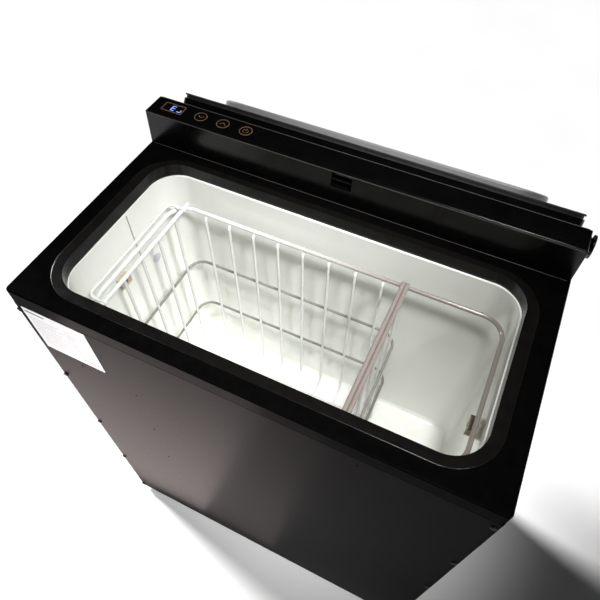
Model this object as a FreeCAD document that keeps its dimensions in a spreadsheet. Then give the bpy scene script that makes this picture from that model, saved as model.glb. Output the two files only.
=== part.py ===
import FreeCAD, Part
import math
import os
import Sketcher
from FreeCAD import Placement, Rotation, Vector

# Compact top-opening compressor freezer, modelled with its lid thrown fully back.
# Millimetres. +Z up, +Y towards the back, +X to the right of someone facing the front.
# Origin: centre of the cabinet's footprint, on the floor.

doc = FreeCAD.newDocument("compact_freezer")

# ---------------------------------------------------------------- driving dimensions
DIMS = [
    ("cab_w", 500.0, "cabinet width"),
    ("cab_d", 284.0, "cabinet depth"),
    ("plate_z", 609.0, "top plate, height above the floor"),
    ("foot_h", 10.0, "rubber skid height"),
    ("skin", 1.0, "sheet metal thickness"),
    ("skirt_h", 19.0, "depth of the top frame's skirt"),
    ("frame_t", 3.0, "top frame wall"),
    ("deck_z", 212.0, "top of the machine compartment"),
    ("open_l", 217.5, "opening, half length"),
    ("open_f", -115.6, "opening, front edge"),
    ("open_b", 88.4, "opening, back edge"),
    ("open_r", 35.0, "opening, corner radius"),
    ("collar_t", 1.4, "collar flange height above the plate"),
    ("collar_w", 12.5, "collar flange width at the ends"),
    ("throat_h", 14.5, "depth of the collar's throat"),
    ("liner_l", 216.0, "liner, inside half length"),
    ("liner_f", -114.1, "liner, inside front face"),
    ("liner_b", 85.9, "liner, inside back face"),
    ("liner_r", 33.0, "liner, inside corner radius"),
    ("liner_t", 1.2, "liner wall"),
    ("floor_z", 256.0, "liner floor"),
    ("clip_y", -35.0, "liner clips, middle, y"),
    ("clip_z", 521.0, "liner clips, middle, z"),
    ("clip_len", 17.0, "liner clip length"),
    ("clip_h", 13.0, "liner clip height"),
    ("clip_out", 8.5, "how far a liner clip stands out"),
    ("clip_eye_r", 2.6, "radius of the hole in a liner clip"),
    ("cons_l", 248.75, "console, half length"),
    ("cons_f", 109.4, "console, front foot line"),
    ("cons_h", 43.5, "console height"),
    ("cons_t", 2.5, "console wall"),
    ("piv_y", 133.8, "lid hinge axis, y"),
    ("piv_z", 639.0, "lid hinge axis, z"),
    ("lid_open", 221.0, "angle from shut to thrown back, degrees"),
    ("lid_l", 245.0, "lid, half length"),
    ("lid_f", -139.6, "lid, front face when shut"),
    ("lid_b", 95.4, "lid, back face when shut"),
    ("lid_lip", 5.7, "shell lip above the gasket's sealing face"),
    ("lid_t", 2.5, "lid shell wall"),
    ("pad_l", 207.0, "lid plug, half length"),
    ("pad_drop", 7.4, "lid plug below the gasket's sealing face"),
    ("rim_wire", 5.0, "basket rim wire diameter"),
    ("cage_wire", 3.6, "basket cage wire diameter"),
    ("rim_z", 556.5, "basket rim height"),
    ("up_first", -158.0, "first upright wire, x"),
    ("up_pitch", 33.0, "spacing of the upright wires"),
    ("up_count", 8.0, "number of upright wires"),
    ("comp_r", 60.0, "compressor shell radius"),
    ("comp_top", 176.0, "compressor shell top"),
    ("fan_r", 58.0, "fan impeller radius"),
    ("fan_z", 100.0, "fan axis height"),
    ("boss_r", 12.0, "right hinge boss radius"),
    ("cap_r", 6.5, "left hinge pin head radius"),
    ("arm_left_t", 1.6, "left hinge arm plate"),
    ("arm_right_t", 3.0, "right hinge arm plate"),
    ("head_left_t", 0.9, "left hinge pin head thickness"),
    ("head_right_t", 1.8, "right hinge pin head thickness"),
    ("pin_in", 7.0, "length of a hinge pin inside the console"),
    ("pin_r", 4.0, "hinge pin radius"),
    ("run_gap", 0.05, "running clearance on pins"),
]
sheet = doc.addObject("Spreadsheet::Sheet", "dims")
for row, (alias, value, note) in enumerate(DIMS, 1):
    sheet.set(f"A{row}", note)
    sheet.set(f"B{row}", str(value))
    sheet.setAlias(f"B{row}", alias)
doc.recompute()
D = {alias: float(sheet.get(alias)) for alias, _, _ in DIMS}
parts = []


# ---------------------------------------------------------------- helpers
def origin_item(body, role):
    return [f for f in body.Origin.OriginFeatures if f.Role == role][0]


def value_of(owner, text):
    """Number that an expression gives, so a sketch starts at its final size."""
    result = owner.evalExpression(text)
    return float(getattr(result, "Value", result))


def new_body(name):
    body = doc.addObject("PartDesign::Body", name)
    body.Label = name
    parts.append(body)
    return body


def new_sketch(body, name, plane, offset):
    sketch = body.newObject("Sketcher::SketchObject", name)
    sketch.AttachmentSupport = [(origin_item(body, plane), "")]
    sketch.MapMode = "FlatFace"
    sketch.setExpression("AttachmentOffset.Base.z", offset)
    return sketch


def pin_down(sketch, kind, geo, pos, start, text):
    number = sketch.addConstraint(Sketcher.Constraint(kind, -1, 1, geo, pos, start))
    sketch.setExpression(f"Constraints[{number}]", text)


def add_loop(sketch, box, radius):
    """Rectangle with round corners; box is (low u, high u, low v, high v) as expressions."""
    u0, u1, v0, v1 = [value_of(sketch, text) for text in box]
    first = sketch.GeometryCount
    if radius is None:
        corners = [Vector(u0, v0, 0), Vector(u1, v0, 0), Vector(u1, v1, 0), Vector(u0, v1, 0)]
        for k in range(4):
            sketch.addGeometry(Part.LineSegment(corners[k], corners[(k + 1) % 4]), False)
        for k in range(4):
            nxt = first + (k + 1) % 4
            sketch.addConstraint(Sketcher.Constraint("Coincident", first + k, 2, nxt, 1))
        for k in range(4):
            way = "Horizontal" if k % 2 == 0 else "Vertical"
            sketch.addConstraint(Sketcher.Constraint(way, first + k))
        pin_down(sketch, "DistanceX", first, 1, u0, box[0])
        pin_down(sketch, "DistanceX", first + 1, 1, u1, box[1])
        pin_down(sketch, "DistanceY", first, 1, v0, box[2])
        pin_down(sketch, "DistanceY", first + 2, 1, v1, box[3])
        return
    r = value_of(sketch, radius)
    sides = [
        (Vector(u0 + r, v0, 0), Vector(u1 - r, v0, 0)),
        (Vector(u1, v0 + r, 0), Vector(u1, v1 - r, 0)),
        (Vector(u1 - r, v1, 0), Vector(u0 + r, v1, 0)),
        (Vector(u0, v1 - r, 0), Vector(u0, v0 + r, 0)),
    ]
    centres = [
        Vector(u1 - r, v0 + r, 0), Vector(u1 - r, v1 - r, 0),
        Vector(u0 + r, v1 - r, 0), Vector(u0 + r, v0 + r, 0),
    ]
    quarter = math.pi / 2
    for k in range(4):
        sketch.addGeometry(Part.LineSegment(*sides[k]), False)
    for k in range(4):
        circle = Part.Circle(centres[k], Vector(0, 0, 1), r)
        start = (k - 1) * quarter
        sketch.addGeometry(Part.ArcOfCircle(circle, start, start + quarter), False)
    for k in range(4):
        arc = first + 4 + k
        nxt = first + (k + 1) % 4
        sketch.addConstraint(Sketcher.Constraint("Tangent", first + k, 2, arc, 1))
        sketch.addConstraint(Sketcher.Constraint("Tangent", arc, 2, nxt, 1))
    for k in range(1, 4):
        sketch.addConstraint(Sketcher.Constraint("Equal", first + 4, first + 4 + k))
    sketch.addConstraint(Sketcher.Constraint("Horizontal", first))
    sketch.addConstraint(Sketcher.Constraint("Vertical", first + 1))
    number = sketch.addConstraint(Sketcher.Constraint("Radius", first + 4, r))
    sketch.setExpression(f"Constraints[{number}]", radius)
    pin_down(sketch, "DistanceY", first, 1, v0, box[2])
    pin_down(sketch, "DistanceX", first + 1, 1, u1, box[1])
    pin_down(sketch, "DistanceY", first + 2, 1, v1, box[3])
    pin_down(sketch, "DistanceX", first + 3, 1, u0, box[0])


def add_circle(sketch, u, v, radius):
    centre = Vector(value_of(sketch, u), value_of(sketch, v), 0)
    r = value_of(sketch, radius)
    geo = sketch.addGeometry(Part.Circle(centre, Vector(0, 0, 1), r), False)
    pin_down(sketch, "DistanceX", geo, 3, centre.x, u)
    pin_down(sketch, "DistanceY", geo, 3, centre.y, v)
    number = sketch.addConstraint(Sketcher.Constraint("Radius", geo, r))
    sketch.setExpression(f"Constraints[{number}]", radius)


def add_polygon(sketch, points):
    """Closed outline through (u, v) points given as expressions."""
    places = [Vector(value_of(sketch, u), value_of(sketch, v), 0) for u, v in points]
    count = len(places)
    for k in range(count):
        sketch.addGeometry(Part.LineSegment(places[k], places[(k + 1) % count]), False)
    for k in range(count):
        sketch.addConstraint(Sketcher.Constraint("Coincident", k, 2, (k + 1) % count, 1))
    for k, (u, v) in enumerate(points):
        pin_down(sketch, "DistanceX", k, 1, places[k].x, u)
        pin_down(sketch, "DistanceY", k, 1, places[k].y, v)


def grow(body, sketch, length, symmetric=False):
    pad = body.newObject("PartDesign::Pad", sketch.Name + "_pad")
    pad.Profile = sketch
    pad.setExpression("Length", length)
    pad.Midplane = symmetric
    body.Tip = pad
    return pad


def cut(body, sketch, length):
    pocket = body.newObject("PartDesign::Pocket", sketch.Name + "_cut")
    pocket.Profile = sketch
    pocket.setExpression("Length", length)
    body.Tip = pocket
    return pocket


def slab(body, name, box, z_low, height, radius=None):
    """Block standing on the level z_low."""
    sketch = new_sketch(body, name, "XY_Plane", z_low)
    add_loop(sketch, box, radius)
    return grow(body, sketch, height)


def well(body, name, box, z_top, depth, radius=None):
    """Pocket cut down from the level z_top."""
    sketch = new_sketch(body, name, "XY_Plane", z_top)
    add_loop(sketch, box, radius)
    return cut(body, sketch, depth)


def ring(body, name, outer, r_out, inner, r_in, z_low, height):
    sketch = new_sketch(body, name, "XY_Plane", z_low)
    add_loop(sketch, outer, r_out)
    add_loop(sketch, inner, r_in)
    return grow(body, sketch, height)


def sides(half, front, back):
    """Box expressions for something centred on x = 0."""
    return (f"-({half})", half, front, back)


def repeat(body, feature, axis, count, length):
    pattern = body.newObject("PartDesign::LinearPattern", feature.Name + "_row")
    pattern.Originals = [feature]
    pattern.Direction = (origin_item(body, axis), [""])
    pattern.Occurrences = count
    pattern.setExpression("Length", length)
    body.Tip = pattern
    return pattern


def soften(body, radius, wanted):
    """Fillet the edges of the body for which wanted(edge) is true."""
    doc.recompute()
    base = body.Tip
    names = [f"Edge{k}" for k, edge in enumerate(base.Shape.Edges, 1) if wanted(edge)]
    fillet = body.newObject("PartDesign::Fillet", body.Name + "_fillet")
    fillet.Base = (base, names)
    fillet.setExpression("Radius", radius)
    body.Tip = fillet
    return fillet


def at_height(level):
    return lambda e: abs(e.BoundBox.ZMin - level) < 0.01 and abs(e.BoundBox.ZMax - level) < 0.01


def upright_at(y, x_min=0.0):
    def wanted(edge):
        box = edge.BoundBox
        if box.ZLength < 5 or box.XLength > 0.01 or box.YLength > 0.01:
            return False
        return abs(box.YMin - y) < 0.01 and abs(box.XMin) > x_min
    return wanted


def swept_wire(points, bend, radius):
    """Round wire through points, with bends of the given radius (one number or one per bend)."""
    bends = bend if isinstance(bend, (list, tuple)) else [bend] * (len(points) - 2)
    edges = []
    start = points[0]
    for k in range(1, len(points) - 1):
        here = points[k]
        back = (points[k - 1] - here).normalize()
        ahead = (points[k + 1] - here).normalize()
        half = back.getAngle(ahead) / 2
        reach = bends[k - 1] / math.tan(half)
        middle = (back + ahead).normalize()
        near = here + back * reach
        far = here + ahead * reach
        crown = here + middle * (bends[k - 1] / math.sin(half) - bends[k - 1])
        if (near - start).Length > 1e-4:
            edges.append(Part.LineSegment(start, near).toShape())
        edges.append(Part.Arc(near, crown, far).toShape())
        start = far
    if (points[-1] - start).Length > 1e-4:
        edges.append(Part.LineSegment(start, points[-1]).toShape())
    spine = Part.Wire(edges)
    heading = edges[0].tangentAt(edges[0].FirstParameter)
    profile = Part.Wire([Part.makeCircle(radius, points[0], heading)])
    return spine.makePipeShell([profile], True, True, 1)


def closed_hoop(half_x0, half_x1, y0, y1, z, bend, radius):
    """Round wire bent into a closed rectangle with round corners."""
    middle = (half_x0 + half_x1) / 2
    corners = [
        Vector(middle, y0, z), Vector(half_x1, y0, z), Vector(half_x1, y1, z),
        Vector(half_x0, y1, z), Vector(half_x0, y0, z), Vector(middle, y0, z),
    ]
    return swept_wire(corners, bend, radius)


def as_part(name, shape, placement=None):
    item = doc.addObject("Part::Feature", name)
    item.Label = name
    item.Shape = shape
    if placement is not None:
        item.Placement = placement
    parts.append(item)
    return item


def group_of(name, members):
    """Several identical loose pieces kept as one sub-part."""
    item = doc.addObject("Part::Compound", name)
    item.Label = name
    item.Links = members
    parts.append(item)
    return item


def cylinder(name, centre, radius, length, turn=None):
    """Part cylinder; centre and sizes are expressions, turn is its rotation."""
    item = doc.addObject("Part::Cylinder", name)
    item.setExpression("Radius", radius)
    item.setExpression("Height", length)
    item.Placement = Placement(Vector(0, 0, 0), turn or Rotation())
    for letter, text in zip("xyz", centre):
        item.setExpression(f"Placement.Base.{letter}", text)
    return item


ALONG_X = Rotation(Vector(0, 1, 0), 90)
ALONG_BACK = Rotation(Vector(1, 0, 0), -90)

half_w = "dims.cab_w / 2"
half_d = "dims.cab_d / 2"
top = "dims.plate_z"
shell_top = "dims.plate_z - dims.skirt_h - 1"

# ---------------------------------------------------------------- cabinet
# Front and both sides are one folded sheet, with a flange turned in along the top.
shell = new_body("cabinet_shell")
slab(shell, "shell_block", sides(half_w, f"-{half_d}", f"{half_d} - 1.2"),
     "dims.foot_h", f"{shell_top} - dims.foot_h")
soften(shell, "4 mm", upright_at(-D["cab_d"] / 2))
well(shell, "shell_hollow", sides(f"{half_w} - dims.skin", f"-{half_d} + dims.skin", "200"),
     f"{shell_top} - dims.skin", "dims.plate_z")
well(shell, "shell_mouth", sides(f"{half_w} - 13", f"-{half_d} + 13", "200"),
     shell_top, "5")
SCREW_DROPS = (30.5, 169.5, 310.8, 450.6, 590.0)
screw_x = f"{half_w} - 5.5"
holes = new_sketch(shell, "screw_holes", "XZ_Plane", half_d)
for drop in SCREW_DROPS:
    for sign in ("-", ""):
        add_circle(holes, f"{sign}({screw_x})", f"{top} - {drop}", "1.9")
cut(shell, holes, "1.5")

panel = new_body("back_panel")
slab(panel, "panel_sheet", sides(f"{half_w} - 0.5", f"{half_d} - dims.skin", half_d),
     "dims.deck_z + 2", f"{shell_top} - dims.deck_z - 2")

cover = new_body("rear_vent_cover")
slab(cover, "cover_sheet", sides(f"{half_w} - 0.5", f"{half_d} - dims.skin", half_d),
     "dims.foot_h + 2.2", "dims.deck_z - dims.foot_h - 2.2")
vent = new_sketch(cover, "vent_slot", "XZ_Plane", f"-{half_d} + 3")
for column in ("30", "110"):
    add_loop(vent, (column, f"{column} + 65", "40", "45"), "2.4")
slot = cut(cover, vent, "5")
repeat(cover, slot, "Z_Axis", 11, "140")
ports = new_sketch(cover, "socket_holes", "XZ_Plane", f"-{half_d} + 3")
add_circle(ports, "-205", "52", "9.3")
add_circle(ports, "-205", "86", "6.3")
cut(cover, ports, "5")

pan = new_body("base_pan")
slab(pan, "pan_sheet", sides(f"{half_w} - 1.3", f"-{half_d} + 1.3", f"{half_d} - 1.3"),
     "dims.foot_h", "2")
intake = new_sketch(pan, "intake_slot", "XY_Plane", "dims.foot_h + 2")
add_loop(intake, ("90", "96", "-60", "60"), "2.9")
repeat(pan, cut(pan, intake, "3"), "X_Axis", 9, "104")

# One-piece rubber skid that the cabinet stands on.
skid = new_body("base_skid")
ring(skid, "skid_frame", sides(f"{half_w} - 10", f"-{half_d} + 10", f"{half_d} - 10"), "14",
     sides(f"{half_w} - 28", f"-{half_d} + 28", f"{half_d} - 28"), "6", "0", "dims.foot_h")

deck = new_body("machine_deck")
slab(deck, "deck_block", sides(f"{half_w} - 1.4", f"-{half_d} + 1.4", f"{half_d} - 1.4"),
     "dims.deck_z - 14", "15.2")
well(deck, "deck_channel", sides(f"{half_w} - 2.6", "-200", "200"), "dims.deck_z", "20")

# ---------------------------------------------------------------- cold compartment
liner_box = sides("dims.liner_l", "dims.liner_f", "dims.liner_b")
liner_out = sides("dims.liner_l + dims.liner_t", "dims.liner_f - dims.liner_t",
                  "dims.liner_b + dims.liner_t")
liner_top = f"{top} - dims.throat_h"
liner = new_body("inner_liner")
slab(liner, "tub", liner_out, "dims.floor_z - dims.liner_t",
     f"{liner_top} - dims.floor_z + dims.liner_t", "dims.liner_r + dims.liner_t")
slab(liner, "tub_flange", sides("dims.liner_l + 4.4", "dims.liner_f - 4.4", "dims.liner_b + 4.4"),
     f"{liner_top} - 1.2", "1.2", "dims.liner_r + 4.4")
well(liner, "tub_inside", liner_box, liner_top, f"{liner_top} - dims.floor_z", "dims.liner_r")
soften(liner, "8 mm", at_height(D["floor_z"]))
soften(liner, "9 mm", at_height(D["floor_z"] - D["liner_t"]))

# Roll-bond evaporator: a thin jacket with raised refrigerant channels.
evap = new_body("evaporator_jacket")
ring(evap, "jacket",
     sides("dims.liner_l + 3.1", "dims.liner_f - 3.1", "dims.liner_b + 3.1"), "dims.liner_r + 3.1",
     sides("dims.liner_l + 1.6", "dims.liner_f - 1.6", "dims.liner_b + 1.6"), "dims.liner_r + 1.6",
     "335", "220")
channel = ring(
    evap, "channel",
    sides("dims.liner_l + 5.2", "dims.liner_f - 5.2", "dims.liner_b + 5.2"), "dims.liner_r + 5.2",
    sides("dims.liner_l + 2.6", "dims.liner_f - 2.6", "dims.liner_b + 2.6"), "dims.liner_r + 2.6",
    "345", "8")
repeat(evap, channel, "Z_Axis", 6, "190")

foam = new_body("insulation_foam")
slab(foam, "foam_main", sides(f"{half_w} - 1.5", f"-{half_d} + 1.5", f"{half_d} - 1.5"),
     "dims.deck_z + 1.5", "374")
soften(foam, "20 mm", upright_at(-D["cab_d"] / 2 + 1.5))
slab(foam, "foam_head", sides(f"{half_w} - 13.5", f"-{half_d} + 13.5", f"{half_d} - 13.5"),
     "dims.deck_z + 370", f"{top} - dims.frame_t - 0.3 - dims.deck_z - 370")
well(foam, "foam_tub", sides("dims.liner_l + 1.5", "dims.liner_f - 1.5", "dims.liner_b + 1.5"),
     top, f"{top} - dims.floor_z + 1.5", "dims.liner_r + 1.5")
well(foam, "foam_throat", sides("dims.liner_l + 5", "dims.liner_f - 5", "dims.liner_b + 5"),
     top, "dims.throat_h + 2", "dims.liner_r + 5")
well(foam, "foam_jacket", sides("dims.liner_l + 6.5", "dims.liner_f - 6.5", "dims.liner_b + 6.5"),
     "558", "226", "dims.liner_r + 6.5")

plug = doc.addObject("Part::Cylinder", "liner_plug")
plug.Label = "liner_plug"
plug.setExpression("Radius", "6.5 mm")
plug.setExpression("Height", "2 mm")
plug.Placement = Placement(Vector(0, 0, 0), ALONG_X)
plug.setExpression("Placement.Base.x", "-dims.liner_l")
plug.setExpression("Placement.Base.y", "29 mm")
plug.setExpression("Placement.Base.z", f"{top} - 115")
parts.append(plug)

for side, sign in (("left", "-"), ("right", "")):
    clip = new_body(f"liner_clip_{side}")
    sketch = new_sketch(clip, f"clip_{side}", "XZ_Plane", "-dims.clip_y - dims.clip_len / 2")
    near = f"{sign}(dims.liner_l)"
    far = f"{sign}(dims.liner_l - dims.clip_out)"
    u = (near, far) if sign else (far, near)
    add_loop(sketch, (u[0], u[1], "dims.clip_z - dims.clip_h / 2", "dims.clip_z + dims.clip_h / 2"), None)
    grow(clip, sketch, "dims.clip_len")
    eye = new_sketch(clip, f"clip_eye_{side}", "YZ_Plane", near if sign else far)
    add_circle(eye, "dims.clip_y", "dims.clip_z", "dims.clip_eye_r")
    eye_cut = clip.newObject("PartDesign::Pocket", f"clip_eye_cut_{side}")
    eye_cut.Profile = eye
    eye_cut.setExpression("Length", "dims.clip_out")
    eye_cut.Reversed = True
    clip.Tip = eye_cut

lead_x = -D["liner_l"] + 0.9
sensor = [Vector(lead_x, 3.5, D["plate_z"] - 16.5), Vector(lead_x, 3.5, D["plate_z"] - 60),
          Vector(lead_x, 6.5, D["plate_z"] - 112)]
as_part("sensor_lead", swept_wire(sensor, 12, 0.6))

# ---------------------------------------------------------------- machine compartment
comp = new_body("compressor")
base = new_sketch(comp, "comp_can", "XY_Plane", "26")
add_circle(base, "-95", "5", "dims.comp_r")
grow(comp, base, "dims.comp_top - 26")
soften(comp, "26 mm", lambda e: at_height(26)(e) or at_height(D["comp_top"])(e))
seam = new_sketch(comp, "comp_seam", "XY_Plane", "100")
add_circle(seam, "-95", "5", "dims.comp_r + 3")
grow(comp, seam, "4")
slab(comp, "comp_foot", ("-180", "-10", "-50", "60"), "24", "6", "10")

grommets = []
for k, (gx, gy) in enumerate([(-168, -40), (-22, -40), (-168, 50), (-22, 50)]):
    grommets.append(cylinder(f"grommet_{k}", (str(gx), str(gy), "12"), "9", "12"))
group_of("compressor_grommets", grommets)

coil = new_body("condenser_coil")
fin = slab(coil, "fin", ("150", "151", "-70", "60"), "34", "150")
repeat(coil, fin, "X_Axis", 15, "70")
tubes = new_sketch(coil, "coil_tubes", "YZ_Plane", "144")
for ty in ("-45", "-5", "35"):
    for tz in ("55", "90", "125", "160"):
        add_circle(tubes, ty, tz, "4")
grow(coil, tubes, "84")
slab(coil, "coil_shoe", ("146", "226", "-60", "50"), "12", "23")

fan_frame = new_body("fan_shroud")
sketch = new_sketch(fan_frame, "shroud_block", "YZ_Plane", "112")
add_loop(sketch, ("-70", "60", "12", "184"), "6")
add_circle(sketch, "-5", "dims.fan_z", "dims.fan_r + 3")
grow(fan_frame, sketch, "26")
spider = new_sketch(fan_frame, "shroud_spider", "YZ_Plane", "112")
add_loop(spider, ("-5 - dims.fan_r - 5", "-5 + dims.fan_r + 5", "dims.fan_z - 4", "dims.fan_z + 4"), None)
grow(fan_frame, spider, "4")
spider = new_sketch(fan_frame, "shroud_spider_upright", "YZ_Plane", "112")
add_loop(spider, ("-9", "-1", "dims.fan_z - dims.fan_r - 5", "dims.fan_z + dims.fan_r + 5"), None)
grow(fan_frame, spider, "4")

motor = new_body("fan_motor")
sketch = new_sketch(motor, "motor_can", "YZ_Plane", "116")
add_circle(sketch, "-5", "dims.fan_z", "17")
grow(motor, sketch, "9")
sketch = new_sketch(motor, "motor_shaft", "YZ_Plane", "125")
add_circle(sketch, "-5", "dims.fan_z", "2")
grow(motor, sketch, "11")

hub = new_body("fan_impeller")
sketch = new_sketch(hub, "hub_disc", "YZ_Plane", "125.5")
add_circle(sketch, "-5", "dims.fan_z", "18")
grow(hub, sketch, "9")
blade = new_sketch(hub, "blade", "YZ_Plane", "128")
add_polygon(blade, [("-10", "dims.fan_z + 14"), ("8", "dims.fan_z + 12"),
                    ("24", "dims.fan_z + dims.fan_r - 8"), ("-5", "dims.fan_z + dims.fan_r"),
                    ("-16", "dims.fan_z + dims.fan_r - 6")])
blade_pad = grow(hub, blade, "2")
axle = new_sketch(hub, "fan_axis", "XY_Plane", "dims.fan_z")
line = axle.addGeometry(Part.LineSegment(Vector(0, -5, 0), Vector(200, -5, 0)), True)
spin = hub.newObject("PartDesign::PolarPattern", "blades")
spin.Originals = [blade_pad]
spin.Axis = (axle, ["Axis0"])
spin.Angle = 360
spin.Occurrences = 5
hub.Tip = spin
bore = new_sketch(hub, "hub_bore", "YZ_Plane", "134.5")
add_circle(bore, "-5", "dims.fan_z", "2 + dims.run_gap")
cut(hub, bore, "9")

drier = new_body("filter_drier")
sketch = new_sketch(drier, "drier_can", "XY_Plane", "40")
add_circle(sketch, "60", "100", "9")
grow(drier, sketch, "90")
soften(drier, "6 mm", lambda e: at_height(40)(e) or at_height(130)(e))

box = new_body("power_module")
slab(box, "module_block", ("-80", "20", "-132", "-88"), "12", "62", "4")
fin = slab(box, "module_fin", ("-76", "-73", "-130", "-90"), "72", "12")
repeat(box, fin, "X_Axis", 10, "88")

as_part("discharge_pipe", swept_wire(
    [Vector(-20, 5, 120), Vector(30, 5, 120), Vector(30, 100, 120), Vector(30, 100, 195),
     Vector(185, 100, 195), Vector(185, 35, 195), Vector(185, 35, 184.2)], 5, 2.4))
as_part("suction_pipe", swept_wire(
    [Vector(-95, 5, 176.2), Vector(-95, 5, 190), Vector(-180, 5, 190), Vector(-180, 70, 190),
     Vector(-180, 70, 197.5)], 6, 3.2))

inlet = new_body("dc_inlet_socket")
sketch = new_sketch(inlet, "socket_barrel", "XZ_Plane", f"-{half_d} - 2")
add_circle(sketch, "-205", "52", "9")
grow(inlet, sketch, "22")
sketch = new_sketch(inlet, "socket_flange", "XZ_Plane", f"-{half_d} - 3")
add_circle(sketch, "-205", "52", "13")
grow(inlet, sketch, "3")
sketch = new_sketch(inlet, "socket_mouth", "XZ_Plane", f"-{half_d} + 9")
add_circle(sketch, "-205", "52", "6.5")
cut(inlet, sketch, "20")
fuse = new_body("fuse_holder")
sketch = new_sketch(fuse, "fuse_barrel", "XZ_Plane", f"-{half_d} - 2")
add_circle(sketch, "-205", "86", "6")
grow(fuse, sketch, "20")
sketch = new_sketch(fuse, "fuse_cap", "XZ_Plane", f"-{half_d} - 7")
add_circle(sketch, "-205", "86", "8.5")
grow(fuse, sketch, "7")

# ---------------------------------------------------------------- top frame and collar
frame = new_body("top_frame")
slab(frame, "frame_skirt", sides(half_w, f"-{half_d}", half_d), f"{top} - dims.skirt_h",
     "dims.skirt_h", "5")
soften(frame, "1.6 mm", at_height(D["plate_z"]))
slab(frame, "frame_rebate", sides(f"{half_w} - 3.2", f"-{half_d} + 3.2", f"{half_d} - 3.2"),
     shell_top, "5", "3")
well(frame, "frame_inside",
     sides(f"{half_w} - 3.2 - dims.frame_t", f"-{half_d} + 3.2 + dims.frame_t",
           f"{half_d} - 3.2 - dims.frame_t"), f"{top} - dims.frame_t", "40", "3")
well(frame, "frame_mouth", sides("dims.open_l + 3", "dims.open_f - 3", "dims.open_b + 3"),
     top, "10", "dims.open_r + 3")

collar = new_body("opening_collar")
slab(collar, "collar_flange",
     sides("dims.open_l + dims.collar_w", "dims.open_f - 11.25", "dims.open_b + 8.5"),
     top, "dims.collar_t", "47.5")
soften(collar, "1.1 mm", at_height(D["plate_z"] + D["collar_t"]))
slab(collar, "collar_throat", sides("dims.open_l + 2.2", "dims.open_f - 2.2", "dims.open_b + 2.2"),
     f"{top} - dims.throat_h", "dims.throat_h + 0.5", "dims.open_r + 2.2")
well(collar, "collar_mouth", sides("dims.open_l", "dims.open_f", "dims.open_b"),
     f"{top} + 5", "40", "dims.open_r")

# ---------------------------------------------------------------- console
console = new_body("console_housing")
sketch = new_sketch(console, "console_side", "YZ_Plane", "0")
add_polygon(sketch, [("dims.cons_f", top), (half_d, top), (half_d, f"{top} + dims.cons_h"),
                     ("dims.cons_f + 2", f"{top} + dims.cons_h")])
grow(console, sketch, "2 * dims.cons_l", symmetric=True)
soften(console, "1.6 mm", lambda e: at_height(D["plate_z"] + D["cons_h"])(e))
hollow_top = f"{top} + dims.cons_h - dims.cons_t"
for tag, x_low, x_high in (("left", f"-dims.cons_l + {8}", "-22"), ("right", "22", "dims.cons_l - 8")):
    well(console, f"console_hollow_{tag}",
         (x_low, x_high, "dims.cons_f + 2 + dims.cons_t", f"{half_d} - dims.cons_t"),
         hollow_top, "60", "2")
catch = new_sketch(console, "catch_recess", "XZ_Plane", "-dims.cons_f + 5")
add_loop(catch, ("-12.5", "11", f"{top} + 21.5", f"{top} + 40.5"), "1")
console_cut = cut(console, catch, "12")
film_seat = well(console, "film_seat", sides("dims.cons_l - 3", "dims.cons_f + 4.4", f"{half_d} - 2.4"),
                 f"{top} + dims.cons_h + 5", "5.5", "2")
lens_hole = well(console, "lens_hole", ("-233", "-207.8", "121.4", "134.1"),
                 f"{top} + dims.cons_h", "10")
pivot = new_sketch(console, "pivot_bore", "YZ_Plane", "-dims.cons_l - 5")
add_circle(pivot, "dims.piv_y", "dims.piv_z", "dims.pin_r")
bore_cut = console.newObject("PartDesign::Pocket", "pivot_bore_cut")
bore_cut.Profile = pivot
bore_cut.setExpression("Length", "2 * dims.cons_l + 10")
bore_cut.Reversed = True
console.Tip = bore_cut

film = new_body("console_overlay")
slab(film, "film_sheet", sides("dims.cons_l - 3.2", "dims.cons_f + 4.6", f"{half_d} - 2.6"),
     f"{top} + dims.cons_h - 0.5", "0.5", "1.8")
well(film, "film_window", ("-233", "-207.8", "121.4", "134.1"), f"{top} + dims.cons_h + 2", "8")

lens = new_body("display_window")
slab(lens, "lens_block", ("-232.9", "-207.9", "121.5", "134"), f"{top} + dims.cons_h - 2.4", "2.4")
digits = new_body("display_module")
slab(digits, "digit_block", ("-234", "-206.8", "120.4", "135.1"), f"{top} + dims.cons_h - 9", "6.4")
board = new_body("control_board")
slab(board, "board_sheet", ("-238", "-100", "115", "138.6"), f"{top} + dims.cons_h - 10.6", "1.6")
bezel = new_body("display_bezel")
ring(bezel, "bezel_ring", ("-234.2", "-206.6", "120.2", "135.3"), "1.4",
     ("-233", "-207.8", "121.4", "134.1"), "0.5", f"{top} + dims.cons_h", "0.3")

icon_z = D["plate_z"] + D["cons_h"]
icon_y = 127.9
icons = []
for cx in (-183.7, -154.5, -124.9):
    disc = Part.makeCylinder(7.6, 0.25, Vector(cx, icon_y, icon_z))
    icons.append(disc.cut(Part.makeCylinder(6.8, 1, Vector(cx, icon_y, icon_z - 0.2))))
as_part("touch_icon_rings", Part.makeCompound(icons))

bar = cylinder("catch_bar", ("-12.5", "dims.cons_f + 5", f"{top} + 30"), "1.6", "23.5", ALONG_X)
bar.Label = "catch_bar"
parts.append(bar)

# ---------------------------------------------------------------- hinges
open_turn = Rotation(Vector(1, 0, 0), -D["lid_open"])
pivot_at = Vector(0, D["piv_y"], D["piv_z"])
thrown_back = Placement(pivot_at, open_turn) * Placement(pivot_at * -1, Rotation())

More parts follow.
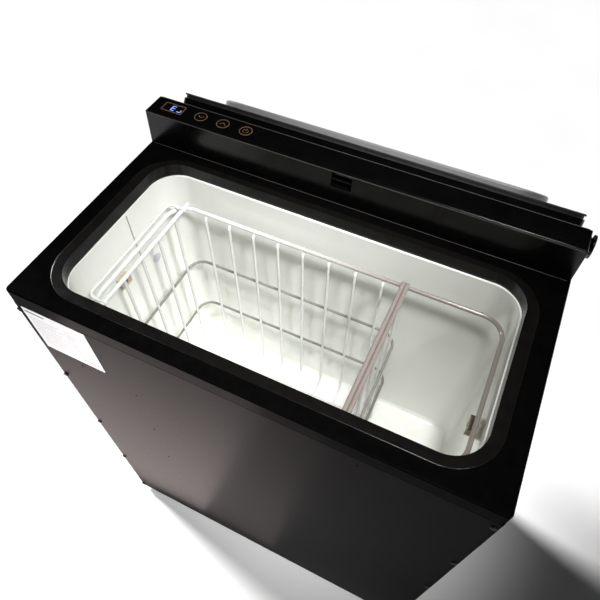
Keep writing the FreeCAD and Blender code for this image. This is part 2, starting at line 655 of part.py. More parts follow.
for side, sign in (("left", -1), ("right", 1)):
    plate_t = f"dims.arm_{side}_t"
    head_t = f"dims.head_{side}_t"
    pin = new_body(f"hinge_pin_{side}")
    stem = new_sketch(pin, f"pin_stem_{side}", "YZ_Plane",
                      "dims.cons_l - dims.pin_in" if sign > 0 else f"-dims.cons_l - {plate_t} - 0.6")
    add_circle(stem, "dims.piv_y", "dims.piv_z", "dims.pin_r")
    grow(pin, stem, f"dims.pin_in + {plate_t} + 0.6")
    head = new_sketch(pin, f"pin_head_{side}", "YZ_Plane",
                      f"dims.cons_l + {plate_t} + 0.6" if sign > 0
                      else f"-dims.cons_l - {plate_t} - 0.6 - {head_t}")
    add_circle(head, "dims.piv_y", "dims.piv_z", "dims.boss_r" if sign > 0 else "dims.cap_r")
    grow(pin, head, head_t)

    arm = new_body(f"hinge_arm_{side}")
    plate = new_sketch(arm, f"arm_plate_{side}", "YZ_Plane",
                       "dims.cons_l + 0.3" if sign > 0 else f"-dims.cons_l - 0.3 - {plate_t}")
    add_polygon(plate, [
        ("dims.piv_y + 7", "dims.piv_z - 5"), ("dims.piv_y + 7", "dims.piv_z + 5"),
        ("dims.piv_y + 3", "dims.piv_z + 8.3"), ("44", "dims.piv_z + 6"),
        ("40", "dims.piv_z + 2"), ("40", "dims.piv_z - 9"), ("44", "dims.piv_z - 13"),
        ("90", "dims.piv_z - 13"), ("dims.piv_y - 20", "dims.piv_z - 9.5"),
        ("dims.piv_y + 3", "dims.piv_z - 8.3")])
    grow(arm, plate, plate_t)
    tab = new_sketch(arm, f"arm_tab_{side}", "YZ_Plane",
                     "dims.lid_l" if sign > 0 else "-dims.cons_l - 1")
    add_loop(tab, ("46", "84", "dims.piv_z - 11", "dims.piv_z + 3"), "3")
    grow(arm, tab, "dims.cons_l + 1 - dims.lid_l")
    eye = new_sketch(arm, f"arm_eye_{side}", "YZ_Plane", "300" if sign > 0 else "-200")
    add_circle(eye, "dims.piv_y", "dims.piv_z", "dims.pin_r + dims.run_gap")
    cut(arm, eye, "200")
    arm.Placement = thrown_back

# ---------------------------------------------------------------- lid, drawn shut, then thrown back
seal_z = f"{top} + dims.collar_t + 0.1"
lid_top = f"{top} + dims.cons_h"
lid = new_body("lid_shell")
slab(lid, "lid_block", sides("dims.lid_l", "dims.lid_f", "dims.lid_b"), f"{seal_z} + dims.lid_lip",
     f"{lid_top} - {top} - dims.collar_t - 0.1 - dims.lid_lip", "8")
soften(lid, "3.5 mm", at_height(D["plate_z"] + D["cons_h"]))
well(lid, "lid_hollow", sides("dims.lid_l - dims.lid_t", "dims.lid_f + dims.lid_t",
                              "dims.lid_b - dims.lid_t"),
     f"{lid_top} - dims.lid_t", "60", "5.5")
lid.Placement = thrown_back

tray = new_body("lid_inner_tray")
slab(tray, "tray_plate", sides("dims.lid_l - 5", "dims.lid_f + 5", "dims.lid_b - 5"),
     f"{seal_z} + 3.7", "dims.lid_lip - 3.7", "4")
slab(tray, "tray_plug", sides("dims.pad_l", "dims.lid_f + 34", "dims.lid_b - 17.5"),
     f"{seal_z} - dims.pad_drop", "dims.pad_drop + 3.8", "34")
soften(tray, "3 mm", at_height(D["plate_z"] + D["collar_t"] + 0.1 - D["pad_drop"]))
well(tray, "tray_hollow", sides("dims.pad_l - 2", "dims.lid_f + 36", "dims.lid_b - 19.5"),
     f"{seal_z} + dims.lid_lip", "dims.lid_lip + dims.pad_drop - 2", "32")
tray.Placement = thrown_back

filling = new_body("lid_foam")
slab(filling, "lid_foam_main", sides("dims.lid_l - 2.8", "dims.lid_f + 2.8", "dims.lid_b - 2.8"),
     f"{seal_z} + dims.lid_lip + 0.3", f"{lid_top} - {top} - dims.collar_t - 3.2 - dims.lid_lip", "5.2")
slab(filling, "lid_foam_plug", sides("dims.pad_l - 2.3", "dims.lid_f + 36.3", "dims.lid_b - 19.8"),
     f"{seal_z} - dims.pad_drop + 2.3", "dims.pad_drop + dims.lid_lip", "31.7")
filling.Placement = thrown_back

gasket = new_body("lid_gasket")
ring(gasket, "gasket_strip",
     sides("dims.lid_l - 1.8", "dims.lid_f + 1.8", "dims.lid_b - 1.8"), "7",
     sides("dims.lid_l - 22", "dims.lid_f + 21", "dims.lid_b - 15.5"), "30",
     seal_z, "3.7")
ring(gasket, "gasket_lip",
     sides("dims.lid_l - 0.2", "dims.lid_f + 0.2", "dims.lid_b - 0.2"), "8",
     sides("dims.lid_l - 6", "dims.lid_f + 6", "dims.lid_b - 6"), "3",
     seal_z, "2")
ring(gasket, "gasket_root",
     sides("dims.lid_l - 1.8", "dims.lid_f + 1.8", "dims.lid_b - 1.8"), "7",
     sides("dims.lid_l - 4.7", "dims.lid_f + 4.7", "dims.lid_b - 4.7"), "4.2",
     f"{seal_z} + 3", "dims.lid_lip - 3")
gasket.Placement = thrown_back

# Rubber stops that the thrown-back lid leans on.
for side, sign in (("left", "-1"), ("right", "1")):
    stop = new_body(f"lid_stop_{side}")
    slab(stop, f"stop_{side}", (f"{sign} * 180 - 12", f"{sign} * 180 + 12", half_d, "151.6"),
         f"{top} - 14", "12", "3")

# ---------------------------------------------------------------- wire basket
rim_r = D["rim_wire"] / 2
wire_r = D["cage_wire"] / 2
rim_z = D["rim_z"]
rim_x0, rim_x1, rim_y0, rim_y1 = -200.0, 211.0, -101.6, 73.9
low_z = D["floor_z"] + 0.3 + wire_r
floor_wire_z = low_z + 2 * wire_r - 0.15
inset = rim_r + wire_r - 0.15
cage_y0 = rim_y0 + inset
cage_y1 = rim_y1 - inset
as_part("basket_rim", closed_hoop(rim_x0, rim_x1, rim_y0, rim_y1, rim_z, 25, rim_r))

cross_z = rim_z + 2 * rim_r - 0.3
cross_left, cross_right = -185.0, 95.0
cross = []
for cx in (cross_left, cross_right, cross_right + 2 * rim_r - 0.1):
    cross.append(Part.makeCylinder(rim_r, rim_y1 - rim_y0 + 2, Vector(cx, rim_y0 - 1, cross_z),
                                   Vector(0, 1, 0)))
as_part("basket_cross_wires", Part.makeCompound(cross))

# Each upright runs under the rim, is welded to it and turns down.
top_bend = 4.0
uprights = []
for k in range(int(D["up_count"])):
    x = D["up_first"] + k * D["up_pitch"]
    under = rim_z - inset
    uprights.append(swept_wire([
        Vector(x, rim_y1 + 1, under), Vector(x, cage_y1, under), Vector(x, cage_y1, floor_wire_z),
        Vector(x, cage_y0, floor_wire_z), Vector(x, cage_y0, under), Vector(x, rim_y0 - 1, under)],
        [top_bend, 14, 14, top_bend], wire_r))
as_part("basket_upright_wires", Part.makeCompound(uprights))

ends = []
for y in (-55.0, -21.5, 12.0, 46.4):
    ends.append(swept_wire([
        Vector(cross_left, y, cross_z), Vector(cross_left, y, low_z),
        Vector(cross_right + 5, y, low_z), Vector(cross_right + 5, y, rim_z)], 14, wire_r))
as_part("basket_long_wires", Part.makeCompound(ends))

hoops = []
for z in (D["plate_z"] - 150, D["plate_z"] - 245):
    hoops.append(closed_hoop(cross_left - 2 * wire_r + 0.15, cross_right + 5 + 2 * wire_r - 0.15,
                             cage_y0 - 2 * wire_r + 0.15, cage_y1 + 2 * wire_r - 0.15, z, 20, wire_r))
as_part("basket_hoops", Part.makeCompound(hoops))

# Swing handle on the left cross wire, folded outwards over the end of the rim.
eye_ys = (-90.7, 63.0)
eye_length = 3.6
grip_x = rim_x0 - 2.5
grip_z = cross_z + 4
grip = swept_wire([
    Vector(cross_left - rim_r - 1.2, eye_ys[0], cross_z + 0.4),
    Vector(grip_x, eye_ys[0], grip_z), Vector(grip_x, eye_ys[1], grip_z),
    Vector(cross_left - rim_r - 1.2, eye_ys[1], cross_z + 0.4)], 6, wire_r)
for y in eye_ys:
    foot = Vector(cross_left, y - eye_length / 2, cross_z)
    grip = grip.fuse(Part.makeCylinder(rim_r + 2.0, eye_length, foot, Vector(0, 1, 0)))
for y in eye_ys:
    foot = Vector(cross_left, y - 5, cross_z)
    grip = grip.cut(Part.makeCylinder(rim_r + D["run_gap"], 10, foot, Vector(0, 1, 0)))
as_part("basket_handle", grip)

# ---------------------------------------------------------------- label, screws
label = new_body("blank_label")
sketch = new_sketch(label, "label_sheet", "XZ_Plane", half_d)
add_loop(sketch, ("-240.3", "-161", f"{top} - 99.5", f"{top} - 22.5"), "1.5")
grow(label, sketch, "0.3")

heads = []
for k, drop in enumerate(SCREW_DROPS):
    for sign in (-1, 1):
        x = sign * (D["cab_w"] / 2 - 5.5)
        z = D["plate_z"] - drop
        head = Part.makeCylinder(3.0, 1.6, Vector(x, -D["cab_d"] / 2, z), Vector(0, -1, 0))
        stem = Part.makeCylinder(1.8, 7, Vector(x, -D["cab_d"] / 2, z), Vector(0, 1, 0))
        heads.append(head.fuse(stem))
as_part("front_screws", Part.makeCompound(heads))

heads = []
for sx in (-1, 1):
    for z in (30.0, 120.0, 200.0, 230.0, 400.0, 575.0):
        place = Vector(sx * (D["cab_w"] / 2 - 6.5), D["cab_d"] / 2, z)
        heads.append(Part.makeCylinder(3.2, 1.6, place, Vector(0, 1, 0)))
as_part("back_screws", Part.makeCompound(heads))

# ---------------------------------------------------------------- check and export
doc.recompute()
for item in doc.Objects:
    bad = [flag for flag in ("Invalid", "Error") if flag in item.State]
    if bad:
        raise RuntimeError(f"{item.Name} is {bad}")
os.makedirs("parts", exist_ok=True)
for item in parts:
    shape = item.Shape
    if shape.isNull() or not shape.isValid() or shape.Volume <= 0:
        raise RuntimeError(f"{item.Label} has a bad shape")
    shape.exportStep(f"parts/{item.Label}.step")
    span = shape.BoundBox
    print(f"{item.Label:24s} {len(shape.Solids)} {shape.Volume:12.1f} "
          f"x {span.XMin:8.1f} {span.XMax:8.1f} y {span.YMin:8.1f} {span.YMax:8.1f} "
          f"z {span.ZMin:8.1f} {span.ZMax:8.1f}")
print(len(parts), "sub-parts")
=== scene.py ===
import math

import bpy
from mathutils import Matrix, Vector


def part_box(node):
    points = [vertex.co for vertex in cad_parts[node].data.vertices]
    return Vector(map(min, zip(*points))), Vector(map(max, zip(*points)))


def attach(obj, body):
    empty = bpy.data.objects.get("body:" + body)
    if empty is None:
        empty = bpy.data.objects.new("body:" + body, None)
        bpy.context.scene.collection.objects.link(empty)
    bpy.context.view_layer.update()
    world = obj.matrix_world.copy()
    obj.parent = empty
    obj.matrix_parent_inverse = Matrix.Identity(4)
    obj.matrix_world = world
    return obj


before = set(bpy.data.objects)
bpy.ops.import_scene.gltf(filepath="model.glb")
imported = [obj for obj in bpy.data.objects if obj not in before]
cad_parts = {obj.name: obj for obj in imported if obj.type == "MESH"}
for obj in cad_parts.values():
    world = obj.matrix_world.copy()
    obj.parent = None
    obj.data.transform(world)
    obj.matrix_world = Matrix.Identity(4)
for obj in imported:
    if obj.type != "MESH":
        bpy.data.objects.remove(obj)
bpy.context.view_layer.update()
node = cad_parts

MM = 0.001
RIGHT, BACK, UP = Vector((1, 0, 0)), Vector((0, 1, 0)), Vector((0, 0, 1))
SHARP_ANGLE = math.radians(32)
PRINT_GAP = 0.00002         # between a face and what is printed on it, in metres
INK_THICK = 0.00003         # bars on the label
DIMPLE_THICK = 0.00005      # fixing dimples
MARK_THICK = 0.00018        # touch marks and lit digits
# A mix node in colour mode has no unique names for its sockets, so these are their places.
MIX_FACTOR, MIX_FIRST, MIX_SECOND, MIX_RESULT = 0, 6, 7, 2


# ---------------------------------------------------------------- material helpers
def new_material(name):
    mat = bpy.data.materials.new(name)
    mat.use_nodes = True
    tree = mat.node_tree
    return mat, tree, tree.nodes["Principled BSDF"]


def add(tree, kind, **inputs):
    item = tree.nodes.new(kind)
    for key, value in inputs.items():
        item.inputs[key.replace("_", " ")].default_value = value
    return item


def two_tone(tree, factor, first, second, start=0.0, stop=1.0):
    """Colour that turns from first into second as the factor goes from start to stop."""
    ramp = tree.nodes.new("ShaderNodeValToRGB")
    ends = ramp.color_ramp.elements
    ends[0].position = start
    ends[0].color = (*first, 1)
    ends[1].position = stop
    ends[1].color = (*second, 1)
    tree.links.new(factor, ramp.inputs["Fac"])
    return ramp.outputs["Color"]


def surface(name, dark, light, rough, metallic=0.0, scale=60.0, bump=0.0, grain=1.0, coat=0.0,
            specular=0.5, rough_swing=0.06):
    """Two close tones mixed by noise, with matching roughness swing and a fine bump."""
    mat, tree, shader = new_material(name)
    place = tree.nodes.new("ShaderNodeTexCoord")
    stretch = add(tree, "ShaderNodeMapping", Scale=(1.0, 1.0, grain))
    tree.links.new(place.outputs["Object"], stretch.inputs["Vector"])
    noise = add(tree, "ShaderNodeTexNoise", Scale=scale, Detail=5.0, Roughness=0.6)
    tree.links.new(stretch.outputs["Vector"], noise.inputs["Vector"])
    tone = two_tone(tree, noise.outputs["Fac"], dark, light, 0.3, 0.7)
    tree.links.new(tone, shader.inputs["Base Color"])
    smoothest = max(0.02, rough - rough_swing)
    span = add(tree, "ShaderNodeMapRange", To_Min=smoothest, To_Max=rough + rough_swing)
    tree.links.new(noise.outputs["Fac"], span.inputs["Value"])
    tree.links.new(span.outputs["Result"], shader.inputs["Roughness"])
    shader.inputs["Metallic"].default_value = metallic
    shader.inputs["Coat Weight"].default_value = coat
    shader.inputs["Specular IOR Level"].default_value = specular
    if bump:
        fine = add(tree, "ShaderNodeTexNoise", Scale=scale * 12, Detail=3.0)
        tree.links.new(stretch.outputs["Vector"], fine.inputs["Vector"])
        relief = add(tree, "ShaderNodeBump", Strength=bump, Distance=0.0004)
        tree.links.new(fine.outputs["Fac"], relief.inputs["Height"])
        tree.links.new(relief.outputs["Normal"], shader.inputs["Normal"])
    return mat


def glowing(name, colour, strength):
    """Lit segment whose brightness varies slightly."""
    mat, tree, shader = new_material(name)
    place = tree.nodes.new("ShaderNodeTexCoord")
    noise = add(tree, "ShaderNodeTexNoise", Scale=900.0, Detail=1.0)
    tree.links.new(place.outputs["Object"], noise.inputs["Vector"])
    dimmer = [0.85 * channel for channel in colour]
    tone = two_tone(tree, noise.outputs["Fac"], dimmer, colour)
    tree.links.new(tone, shader.inputs["Emission Color"])
    tree.links.new(tone, shader.inputs["Base Color"])
    shader.inputs["Emission Strength"].default_value = strength
    return mat


def fade_along(name, first, second, start, stop):
    """Copy of the first material whose colour turns into the second's along the piece's X."""
    mat = first.copy()
    mat.name = name
    tree = mat.node_tree
    shader = tree.nodes["Principled BSDF"]
    colour = shader.inputs["Base Color"].links[0].from_socket
    other = [n for n in second.node_tree.nodes if n.type == "VALTORGB"][0]
    place = tree.nodes.new("ShaderNodeTexCoord")
    split = tree.nodes.new("ShaderNodeSeparateXYZ")
    tree.links.new(place.outputs["Object"], split.inputs["Vector"])
    span = add(tree, "ShaderNodeMapRange", From_Min=start, From_Max=stop)
    tree.links.new(split.outputs["X"], span.inputs["Value"])
    mix = tree.nodes.new("ShaderNodeMix")
    mix.data_type = "RGBA"
    mix.inputs[MIX_SECOND].default_value = other.color_ramp.elements[0].color
    tree.links.new(span.outputs["Result"], mix.inputs[MIX_FACTOR])
    tree.links.new(colour, mix.inputs[MIX_FIRST])
    tree.links.new(mix.outputs[MIX_RESULT], shader.inputs["Base Color"])
    return mat


def dress(mat, *names):
    for name in names:
        item = node[name]
        item.data.materials.clear()
        item.data.materials.append(mat)


# ---------------------------------------------------------------- materials
black_panel = surface("black_panel", (0.0052, 0.0042, 0.0042), (0.0066, 0.0054, 0.0054), 0.42, scale=220,
                      bump=0.05, specular=0.008)
black_plastic = surface("black_plastic", (0.0012, 0.0012, 0.0012), (0.002, 0.002, 0.0022), 0.2, scale=90,
                        bump=0.02, specular=0.3)
frame_black = surface("frame_black", (0.0012, 0.0012, 0.0012), (0.002, 0.002, 0.002), 0.25, scale=90,
                      specular=0.003)
collar_black = surface("collar_black", (0.003, 0.0028, 0.0026), (0.005, 0.0045, 0.004), 0.22, scale=90,
                       bump=0.02, specular=0.2)
gloss_film = surface("gloss_film", (0.001, 0.001, 0.0011), (0.002, 0.002, 0.0022), 0.16, scale=40,
                     specular=0.25)
liner_white = surface("liner_white", (0.83, 0.838, 0.79), (0.87, 0.876, 0.83), 0.09, scale=14,
                      grain=0.2, specular=0.6)
# Painted shade: brown-grey that the white-coated wire takes where it lies in shade.
wire_painted_shade = surface("wire_painted_shade", (0.23, 0.20, 0.18), (0.28, 0.25, 0.22), 0.25, scale=80, coat=0.4)
# Painted shade: the hoops are the same white-coated wire as the uprights, darkened here for the shade they
# sit in.
hoop_painted_shade = surface("hoop_painted_shade", (0.17, 0.165, 0.15), (0.22, 0.21, 0.19), 0.25, scale=80, coat=0.4)
wire_white = surface("wire_white", (0.66, 0.67, 0.65), (0.72, 0.73, 0.71), 0.25, scale=80, coat=0.4)
# Painted shade: the rim and cross wires turn from white into the painted shade towards the tub's right,
# where they lie in shade.
wire_fading_into_painted_shade = fade_along("wire_fading_into_painted_shade", wire_white, wire_painted_shade, -0.12, 0.10)
# Painted shade: the lid's inner tray is white plastic, darkened here to the grey of its shaded side wall.
pad_painted_shade = surface("pad_painted_shade", (0.265, 0.26, 0.27), (0.285, 0.28, 0.285), 0.3, scale=40)
rubber_black = surface("rubber_black", (0.012, 0.012, 0.012), (0.022, 0.022, 0.022), 0.6, scale=120,
                       bump=0.4)
galvanised = surface("galvanised", (0.50, 0.51, 0.52), (0.58, 0.59, 0.60), 0.4, metallic=0.9, scale=25)
aluminium = surface("aluminium", (0.7, 0.7, 0.72), (0.8, 0.8, 0.82), 0.35, metallic=1.0, scale=60)
copper = surface("copper", (0.62, 0.28, 0.16), (0.75, 0.38, 0.24), 0.3, metallic=1.0, scale=60)
foam_tan = surface("foam_tan", (0.62, 0.52, 0.3), (0.72, 0.62, 0.38), 0.8, scale=150, bump=0.8)
board_green = surface("board_green", (0.01, 0.10, 0.04), (0.02, 0.14, 0.06), 0.35, scale=200)
screw_dark = surface("screw_dark", (0.05, 0.05, 0.05), (0.09, 0.09, 0.09), 0.35, metallic=0.8, scale=300)
screw_black = surface("screw_black", (0.002, 0.002, 0.002), (0.004, 0.004, 0.004), 0.5, scale=300,
                      specular=0.1)
steel_dark = surface("steel_dark", (0.03, 0.03, 0.03), (0.05, 0.05, 0.05), 0.4, metallic=0.6, scale=100)
bronze = surface("bronze", (0.24, 0.14, 0.07), (0.30, 0.18, 0.10), 0.35, metallic=0.4, scale=300)
beige = surface("beige", (0.42, 0.35, 0.25), (0.50, 0.42, 0.31), 0.45, scale=200)
label_white = surface("label_white", (0.90, 0.90, 0.92), (0.95, 0.95, 0.96), 0.5, scale=100)
smoked = surface("smoked", (0.002, 0.0025, 0.004), (0.003, 0.004, 0.006), 0.12, scale=60, specular=0.25)
plug_grey = surface("plug_grey", (0.50, 0.50, 0.56), (0.58, 0.58, 0.63), 0.35, scale=90)
lead_grey = surface("lead_grey", (0.34, 0.34, 0.33), (0.42, 0.42, 0.41), 0.5, scale=200)
digit_blue = glowing("digit_blue", (0.30, 0.42, 1.0), 0.75)
# Painted highlight: brownish colour for the thin rods that stand in for light caught on the console's
# rounded edges.
edge_painted_highlight = surface("edge_painted_highlight", (0.045, 0.037, 0.034), (0.065, 0.054, 0.050), 0.35, scale=200)
ink_faint = surface("ink_faint", (0.20, 0.19, 0.27), (0.28, 0.27, 0.34), 0.6, scale=400)
ink_dark = surface("ink_dark", (0.06, 0.05, 0.08), (0.10, 0.09, 0.12), 0.5, scale=400)
# Painted shade: black for the flat discs that stand in for the shade in shallow dimples.
dimple_painted_shade = surface("dimple_painted_shade", (0.001, 0.001, 0.001), (0.002, 0.002, 0.002), 0.9, scale=400,
                     specular=0.0)
paper_floor = surface("paper_floor", (0.90, 0.90, 0.90), (0.93, 0.93, 0.93), 0.8, scale=3)
flag_cloth = surface("flag_cloth", (0.02, 0.02, 0.02), (0.03, 0.03, 0.03), 0.9, scale=30)

dress(black_panel, "cabinet_shell")
dress(galvanised, "back_panel", "rear_vent_cover", "base_pan", "machine_deck")
dress(rubber_black, "base_skid", "compressor_grommets", "lid_gasket", "lid_stop_left", "lid_stop_right")
dress(liner_white, "inner_liner")
dress(plug_grey, "liner_plug")
dress(pad_painted_shade, "lid_inner_tray")
dress(foam_tan, "insulation_foam", "lid_foam")
dress(aluminium, "evaporator_jacket", "condenser_coil", "power_module")
dress(copper, "filter_drier", "discharge_pipe", "suction_pipe")
dress(steel_dark, "compressor", "fan_motor")
dress(frame_black, "top_frame")
dress(black_plastic, "console_housing", "fan_shroud", "fan_impeller", "dc_inlet_socket",
      "fuse_holder", "lid_shell", "display_module", "catch_bar", "hinge_arm_left", "hinge_arm_right",
      "hinge_pin_left", "hinge_pin_right")
dress(collar_black, "opening_collar")
dress(gloss_film, "console_overlay")
dress(lead_grey, "sensor_lead")
dress(smoked, "display_window")
dress(board_green, "control_board")
dress(bronze, "display_bezel", "touch_icon_rings")
dress(label_white, "blank_label")
dress(beige, "liner_clip_left", "liner_clip_right")
dress(screw_black, "front_screws")
dress(screw_dark, "back_screws")
dress(wire_white, "basket_upright_wires", "basket_long_wires", "basket_handle")
dress(hoop_painted_shade, "basket_hoops")
dress(wire_fading_into_painted_shade, "basket_rim", "basket_cross_wires")

for item in node.values():
    for face in item.data.polygons:
        face.use_smooth = True
    item.data.set_sharp_from_angle(angle=SHARP_ANGLE)


# ---------------------------------------------------------------- outlines and the pieces made of them
def bar(u0, v0, u1, v1, width):
    """Outline of a straight stroke."""
    along = Vector((u1 - u0, v1 - v0)).normalized() * width / 2
    across = Vector((-along.y, along.x))
    corners = ((u0, v0, -1, 1), (u0, v0, -1, -1), (u1, v1, 1, -1), (u1, v1, 1, 1))
    return [(u + end * along.x + side * across.x, v + end * along.y + side * across.y)
            for u, v, end, side in corners]


def on_circle(radius, angle):
    return radius * math.cos(angle), radius * math.sin(angle)


def arc_bars(radius, start, stop, width, count=14):
    """Short strokes that follow an arc, whose ends are given in degrees."""
    knots = [on_circle(radius, math.radians(start + (stop - start) * k / count)) for k in range(count + 1)]
    return [bar(*knots[k], *knots[k + 1], width) for k in range(count)]


def dot(u, v, radius, sides=14):
    """Round outline."""
    around = [on_circle(radius, 2 * math.pi * k / sides) for k in range(sides)]
    return [(u + du, v + dv) for du, dv in around]


def prism(outline, origin, right, up, thick):
    """Vertices and faces of a flat outline raised by thick along right x up."""
    rise = right.cross(up) * thick
    base = [origin + right * u + up * v for u, v in outline]
    count = len(base)
    verts = base + [v + rise for v in base]
    faces = [list(range(count))[::-1], list(range(count, 2 * count))]
    for k in range(count):
        following = (k + 1) % count
        faces.append([k, following, count + following, count + k])
    return verts, faces


def strokes(name, outlines, origin, right, up, thick, mat, body):
    """One piece made of all the raised outlines."""
    verts, faces = [], []
    for outline in outlines:
        more, sides = prism(outline, origin, right, up, thick)
        start = len(verts)
        verts += more
        faces += [[start + k for k in side] for side in sides]
    data = bpy.data.meshes.new(name)
    data.from_pydata([tuple(v) for v in verts], [], faces)
    data.update()
    data.materials.append(mat)
    item = bpy.data.objects.new(name, data)
    bpy.context.scene.collection.objects.link(item)
    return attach(item, body)


# ---------------------------------------------------------------- touch marks
film_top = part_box("console_overlay")[1].z
mark_z = film_top + PRINT_GAP
icon_low, icon_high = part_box("touch_icon_rings")
icon_y = (icon_low.y + icon_high.y) / 2
icon_r = (icon_high.y - icon_low.y) / 2
down_x, up_x, power_x = icon_low.x + icon_r, (icon_low.x + icon_high.x) / 2, icon_high.x - icon_r
CHEVRON_W, CHEVRON_H = 3.4 * MM, 1.6 * MM
MARK_LINE = 0.8 * MM
POWER_RING = 3.2 * MM
POWER_ARC = (125, 415)
POWER_TICK = (0.6 * MM, 3.9 * MM)

for label, x, way in (("down", down_x, -1), ("up", up_x, 1)):
    rise = CHEVRON_H * way
    sides = [bar(-CHEVRON_W, -rise, 0, rise, MARK_LINE), bar(0, rise, CHEVRON_W, -rise, MARK_LINE)]
    strokes(f"chevron_{label}", sides, Vector((x, icon_y, mark_z)), RIGHT, BACK, MARK_THICK, bronze,
            "cabinet")

power_sign = arc_bars(POWER_RING, *POWER_ARC, MARK_LINE)
power_sign.append(bar(0, POWER_TICK[0], 0, POWER_TICK[1], MARK_LINE))
strokes("power_symbol", power_sign, Vector((power_x - 0.2 * MM, icon_y - 0.3 * MM, mark_z)), RIGHT, BACK,
        MARK_THICK, bronze, "cabinet")

# ---------------------------------------------------------------- lit digits
SEGMENTS = {"top": (0, 2, 1, 2), "middle": (0, 1, 1, 1), "bottom": (0, 0, 1, 0),
            "left_top": (0, 1, 0, 2), "left_bottom": (0, 0, 0, 1), "right_bottom": (1, 0, 1, 1)}
CELL_W, CELL_H = 4.6 * MM, 3.9 * MM
CELL_FOOT = 2.2 * MM
SEGMENT_LINE = 1.0 * MM
# Each segment stops short of the cell's corners by this share of its length.
GAP_ACROSS, GAP_UP = 0.16, 0.14
window_low, window_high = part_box("display_window")


def digit(name, x, lit):
    shapes = []
    for key in lit:
        u0, v0, u1, v1 = SEGMENTS[key]
        du, dv = (u1 - u0) * GAP_ACROSS, (v1 - v0) * GAP_UP
        shapes.append(bar((u0 + du) * CELL_W, (v0 + dv) * CELL_H, (u1 - du) * CELL_W, (v1 - dv) * CELL_H,
                          SEGMENT_LINE))
    strokes(name, shapes, Vector((x, window_low.y + CELL_FOOT, window_high.z + PRINT_GAP)), RIGHT, BACK,
            MARK_THICK, digit_blue, "cabinet")


digit("digit_left", window_low.x + 10.4 * MM, ("top", "middle", "bottom", "left_top", "left_bottom"))
digit("digit_right", window_low.x + 18.6 * MM, ("right_bottom", "bottom"))

# ---------------------------------------------------------------- painted highlights along the console's edges
housing_low, housing_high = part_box("console_housing")
plate_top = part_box("top_frame")[1].z
EDGE_R = 0.35 * MM
EDGE_SIDES = 8
EDGE_MARGIN = 3 * MM
EDGE_SUNK = 0.45 * MM


def edge_highlight_rod(name, y, z):
    """Rod along a moulded edge, almost sunk in it; its brownish colour is a painted highlight where the
    edge's rounding catches the light.
    """
    strokes(name, [dot(y, z, EDGE_R, EDGE_SIDES)], Vector((housing_low.x + EDGE_MARGIN, 0, 0)), BACK, UP,
            housing_high.x - housing_low.x - 2 * EDGE_MARGIN, edge_painted_highlight, "cabinet")


edge_highlight_rod("console_front_edge", housing_low.y + 0.2 * MM, film_top - EDGE_SUNK)
edge_highlight_rod("console_back_edge", housing_high.y - 0.2 * MM, film_top - EDGE_SUNK)
edge_highlight_rod("console_foot_edge", housing_low.y + 0.1 * MM, plate_top + 0.1 * MM)

# ---------------------------------------------------------------- dark screw in each tub clip
SCREW_R = 2.2 * MM
SCREW_THICK = 1.2 * MM
SCREW_SUNK = 1.5 * MM

for side, way in (("left", 1), ("right", -1)):
    clip_low, clip_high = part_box(f"liner_clip_{side}")
    middle = (clip_low + clip_high) / 2
    face_x = clip_high.x if way > 0 else clip_low.x
    place = Vector((face_x - way * SCREW_SUNK, middle.y, middle.z))
    strokes(f"clip_screw_{side}", [dot(0, 0, SCREW_R)], place, BACK * way, UP, SCREW_THICK, screw_dark,
            "cabinet")

# ---------------------------------------------------------------- plain bars on the label
label_low, label_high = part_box("blank_label")
label_at = Vector((label_low.x, label_low.y - PRINT_GAP, label_low.z))
label_w, label_h = label_high.x - label_low.x, label_high.z - label_low.z
ROW_COUNT = 13
TOP_ROW, ROW_STEP = 0.80, 0.055
ROW_LENGTHS = (0.46, 0.40, 0.52, 0.36)
ROW_LINE = 0.45 * MM
HEADING_LINE = 2.4 * MM
BLOCK_COUNT = 5
BLOCK_STEP = 0.055
BLOCK_LINE = 1.8 * MM


def label_bar(u0, u1, v, width):
    """Level bar whose ends and height are shares of the label's size."""
    return bar(label_w * u0, label_h * v, label_w * u1, label_h * v, width)


rows = []
for k in range(ROW_COUNT):
    v = TOP_ROW - ROW_STEP * k
    rows.append(label_bar(0.06, 0.06 + ROW_LENGTHS[k % len(ROW_LENGTHS)], v, ROW_LINE))
    rows.append(label_bar(0.60, 0.72 + 0.04 * (k % 3), v, ROW_LINE))
strokes("label_rows", rows, label_at, RIGHT, UP, INK_THICK, ink_faint, "cabinet")

blocks = [label_bar(0.05, 0.33, 0.925, HEADING_LINE)]
for k in range(BLOCK_COUNT):
    blocks.append(label_bar(0.70 + BLOCK_STEP * k, 0.71 + BLOCK_STEP * k, 0.13, BLOCK_LINE))
strokes("label_blocks", blocks, label_at, RIGHT, UP, INK_THICK, ink_dark, "cabinet")

# ---------------------------------------------------------------- shallow fixing dimples in the front sheet, drawn as black discs of painted shade
shell_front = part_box("cabinet_shell")[0].y
COLUMN_X, COLUMN_DROP, COLUMN_STEP = -0.12775, 0.1253, 0.0945
COLUMN_COUNT = 5
# The single dimples: x, drop below the top plate, radius in millimetres.
SINGLES = ((0.12665, 0.033, 1.3), (-0.197, 0.11225, 1.6), (-0.196, 0.52075, 1.4))

dimples = [dot(COLUMN_X, plate_top - COLUMN_DROP - COLUMN_STEP * k, 1.35 * MM) for k in range(COLUMN_COUNT)]
dimples += [dot(x, plate_top - drop, radius * MM) for x, drop, radius in SINGLES]
strokes("front_dimples", dimples, Vector((0, shell_front - PRINT_GAP, 0)), RIGHT, UP, DIMPLE_THICK,
        dimple_painted_shade, "cabinet")

# ---------------------------------------------------------------- floor and sky
bpy.ops.mesh.primitive_plane_add(size=14, location=(0, 0, 0))
floor = bpy.context.object
floor.name = "studio_floor"
floor.data.materials.append(paper_floor)

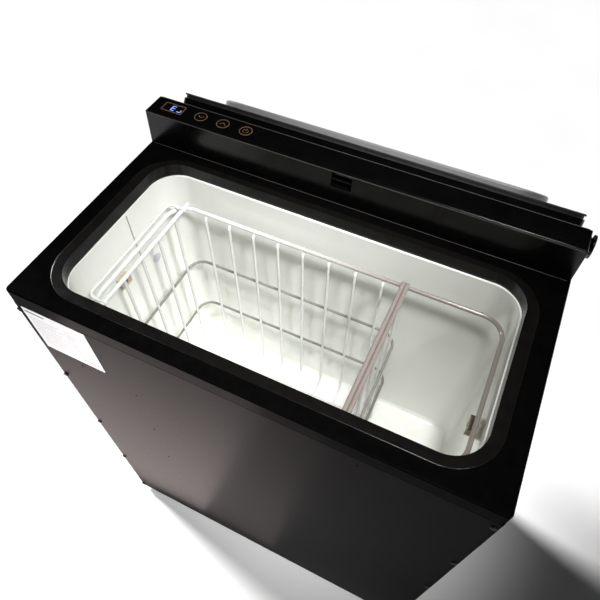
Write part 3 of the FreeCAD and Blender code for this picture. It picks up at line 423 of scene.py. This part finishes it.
HORIZON, ZENITH = (0.9, 0.9, 0.9), (0.03, 0.03, 0.03)
SKY_STRENGTH = 0.7
bpy.context.scene.view_settings.view_transform = "Standard"
world = bpy.data.worlds.new("studio_world")
bpy.context.scene.world = world
world.use_nodes = True
sky = world.node_tree
outlook = sky.nodes.new("ShaderNodeTexCoord")
split = sky.nodes.new("ShaderNodeSeparateXYZ")
sky.links.new(outlook.outputs["Generated"], split.inputs["Vector"])
sky_tone = two_tone(sky, split.outputs["Z"], HORIZON, ZENITH, 0.0, 0.35)
sky.links.new(sky_tone, sky.nodes["Background"].inputs["Color"])
sky.nodes["Background"].inputs["Strength"].default_value = SKY_STRENGTH


# ---------------------------------------------------------------- lights
def lamp(name, kind, power, place, aim):
    """Light at a place, turned to face the aim."""
    data = bpy.data.lights.new(name, kind)
    data.energy = power
    item = bpy.data.objects.new(name, data)
    bpy.context.scene.collection.objects.link(item)
    item.location = place
    item.rotation_euler = (Vector(aim) - Vector(place)).to_track_quat("-Z", "Y").to_euler()
    return item


def sun_light(name, towards, strength, spread):
    sun = lamp(name, "SUN", strength, (0, 0, 0), towards)
    sun.data.angle = math.radians(spread)


def spot_light(name, place, aim, power, cone, soft):
    spot = lamp(name, "SPOT", power, place, aim)
    spot.data.spot_size = math.radians(cone)
    spot.data.spot_blend = 0.6
    spot.data.shadow_soft_size = soft


def kicker_light(name, x, width, power):
    """Low strip light in front of the cabinet that the lower panel mirrors."""
    strip = lamp(name, "AREA", power, (x, -0.265, 0.02), (x, -0.24, 0.4))
    strip.data.shape = "RECTANGLE"
    strip.data.size = width
    strip.data.size_y = 0.22
    strip.data.color = (1.0, 0.84, 0.80)
    strip.visible_camera = False


sun_light("studio_sun", (2.0, -0.55, -1.25), 6.4, 10)
spot_light("tub_light", (0.75, -0.35, 1.9), (-0.12, 0.03, 0.5), 165, 17, 0.14)
spot_light("tub_floor_light", (0.25, -0.45, 2.4), (0.05, -0.01, 0.35), 165, 17, 0.14)
kicker_light("panel_kicker_left", -0.37, 0.50, 1.9)
kicker_light("panel_kicker_middle", -0.05, 0.14, 0.12)
spot_light("label_light", (-0.7, -1.2, 0.9), (-0.2, -0.14, 0.55), 9, 16, 0.1)

# A flag, as photographers call it, keeps the sun out of the tub. It stands this far towards the sun.
FLAG_REACH = 1.1
flag_place = (0.05 - 0.83 * FLAG_REACH, 0.23 * FLAG_REACH, 0.60 + 0.52 * FLAG_REACH)
bpy.ops.mesh.primitive_plane_add(size=1, location=flag_place)
flag = bpy.context.object
flag.name = "studio_flag"
flag.scale = (0.34, 0.36, 1)
flag.rotation_euler = (0, math.radians(-58), math.radians(-15.4))
flag.data.materials.append(flag_cloth)
flag.visible_camera = False
flag.visible_glossy = False

# ---------------------------------------------------------------- camera
CAMERA_PLACE = Vector((0.1511, -0.3099, 1.0405))
TURN_LEFT, TILT, ROLL = math.radians(25.36), math.radians(90 - 54.07), math.radians(0.41)
camera_data = bpy.data.cameras.new("photo_camera")
camera_data.sensor_width = 36.0
camera_data.lens = 33.05
camera_data.clip_start = 0.01
camera = bpy.data.objects.new("photo_camera", camera_data)
bpy.context.scene.collection.objects.link(camera)
camera.matrix_world = (Matrix.Translation(CAMERA_PLACE) @ Matrix.Rotation(TURN_LEFT, 4, "Z")
                       @ Matrix.Rotation(TILT, 4, "X") @ Matrix.Rotation(ROLL, 4, "Z"))
bpy.context.scene.camera = camera
